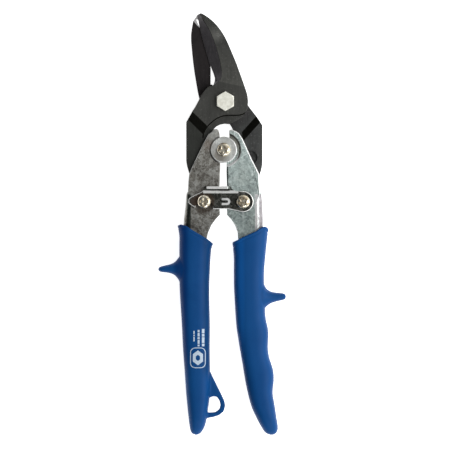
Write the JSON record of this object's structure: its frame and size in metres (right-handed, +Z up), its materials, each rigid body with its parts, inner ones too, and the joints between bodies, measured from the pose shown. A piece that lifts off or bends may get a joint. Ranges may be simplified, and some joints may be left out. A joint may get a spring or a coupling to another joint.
{
  "type": "aviation snips",
  "caption": "Compound-action sheet metal snips with offset black jaws, plated channel handles, a swinging latch and blue guarded grips.",
  "frame": {"origin": "centre of the base of the whole tool, as it lies on its back nut and grips", "axes": "+Y from the grips to the blade tip, +Z up through the front face, +X to the right"},
  "size_m": [0.0759, 0.25, 0.0196],
  "materials": {
    "black_oxide": "forged, blackened, satin",
    "zinc_white": "bright zinc plated",
    "steel": "turned",
    "zinc_plate": "spangled zinc plate",
    "blue_vinyl": "smooth satin",
    "zinc_yellow": "yellow passivated zinc",
    "latch_steel": "dull plated pressing",
    "spring_steel": "drawn wire"
  },
  "bodies": {
    "left_handle": {"left_handle_frame": "zinc_plate", "left_grip": "blue_vinyl", "handle_pivot_sleeve": "steel", "handle_pivot_screw": "zinc_yellow", "handle_pivot_nut": "zinc_yellow", "catch_sleeve": "steel", "catch_screw": "zinc_yellow", "catch_nut": "zinc_yellow", "opening_spring": "spring_steel"},
    "right_handle": {"right_handle_frame": "zinc_plate", "right_grip": "blue_vinyl", "latch_pivot_sleeve": "steel", "latch_pivot_screw": "zinc_yellow", "latch_pivot_nut": "zinc_yellow", "latch_spacer": "steel"},
    "front_jaw": {"front_jaw": "black_oxide", "jaw_bolt": "zinc_white", "jaw_bushing": "steel", "jaw_washer": "zinc_white", "jaw_nut": "zinc_white"},
    "rear_jaw": {"rear_jaw": "black_oxide"},
    "latch": {"latch": "latch_steel"}
  },
  "joints": [
    {"name": "handles", "type": "hinge", "parent": "left_handle", "child": "right_handle", "pos_m": [0.00098, 0.04408, 0.009], "axis": [0, 0, 1], "range_deg": [0, 28], "deforming": ["opening_spring"]},
    {"name": "front_jaw_pivot", "type": "hinge", "parent": "left_handle", "child": "front_jaw", "pos_m": [-0.01055, 0.01337, 0.009], "axis": [0, 0, 1], "range_deg": [0, 7.6]},
    {"name": "rear_jaw_pivot", "type": "hinge", "parent": "front_jaw", "child": "rear_jaw", "pos_m": [0.00196, 0.07283, 0.009], "axis": [0, 0, 1], "range_deg": [0, 14.2]},
    {"name": "latch_pivot", "type": "hinge", "parent": "right_handle", "child": "latch", "pos_m": [0.01245, 0.01331, 0.009], "axis": [0, 0, 1], "range_deg": [-53.5, 0]}
  ],
  "couplings": [
    {"joint": "front_jaw_pivot", "follows": "handles", "ratio": 0.2662},
    {"joint": "rear_jaw_pivot", "follows": "handles", "ratio": 0.4988},
    {"joint": "latch_pivot", "follows": "handles", "ratio": -1.9}
  ]
}
